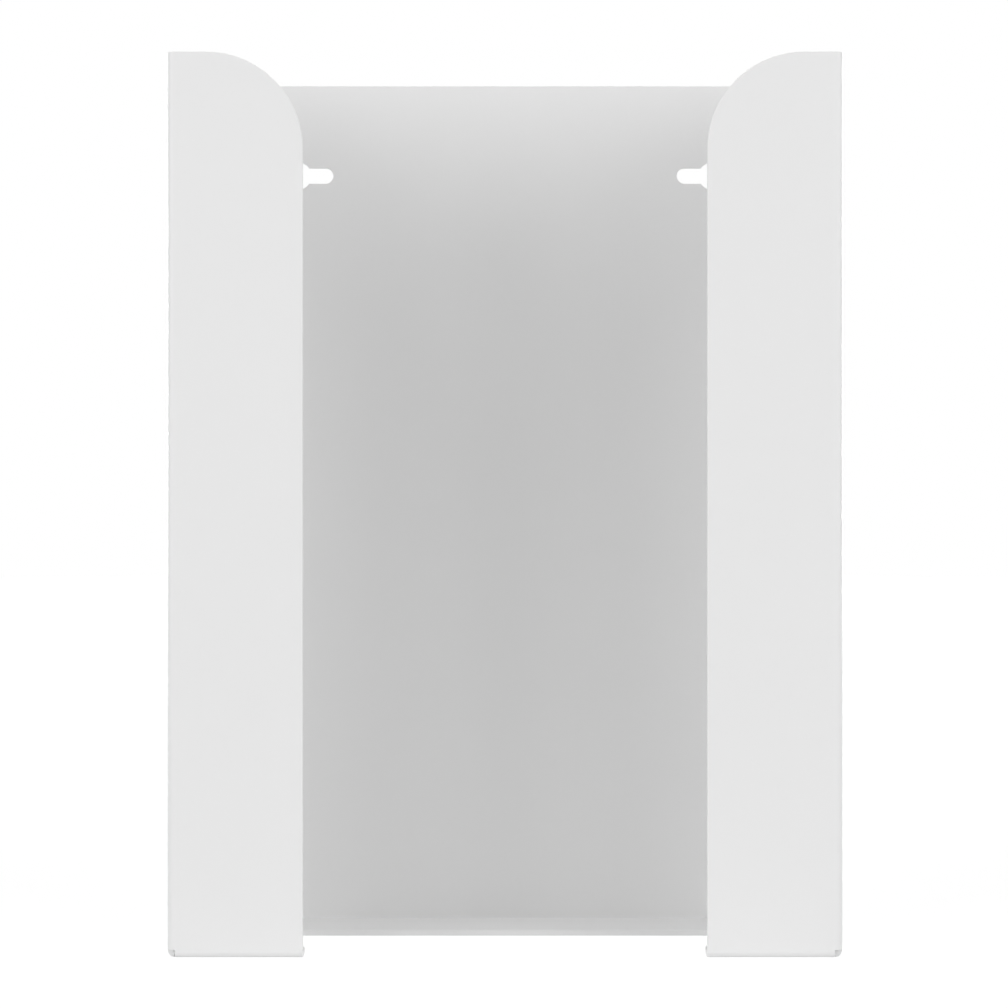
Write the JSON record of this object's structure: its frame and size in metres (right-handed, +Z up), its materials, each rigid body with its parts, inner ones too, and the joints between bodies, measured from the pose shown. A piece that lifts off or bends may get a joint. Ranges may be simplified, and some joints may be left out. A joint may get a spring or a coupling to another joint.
{
  "type": "disposable glove dispenser",
  "caption": "Wall holder folded from coated sheet steel: open top, gap down the front, tabs round an open bottom, keyholes in the back. Holds stacked cartons of disposable gloves.",
  "frame": {"origin": "centre of the holder's plan, on the underside of its bottom tabs", "axes": "+Z up; +Y towards the wall that it hangs on, so the open front faces -Y; +X to the right as seen from the front"},
  "size_m": [0.254, 0.095, 0.3405],
  "materials": {
    "white_coat": "smooth satin white powder coat"
  },
  "bodies": {
    "root": {"folded_holder": "white_coat"}
  },
  "joints": []
}
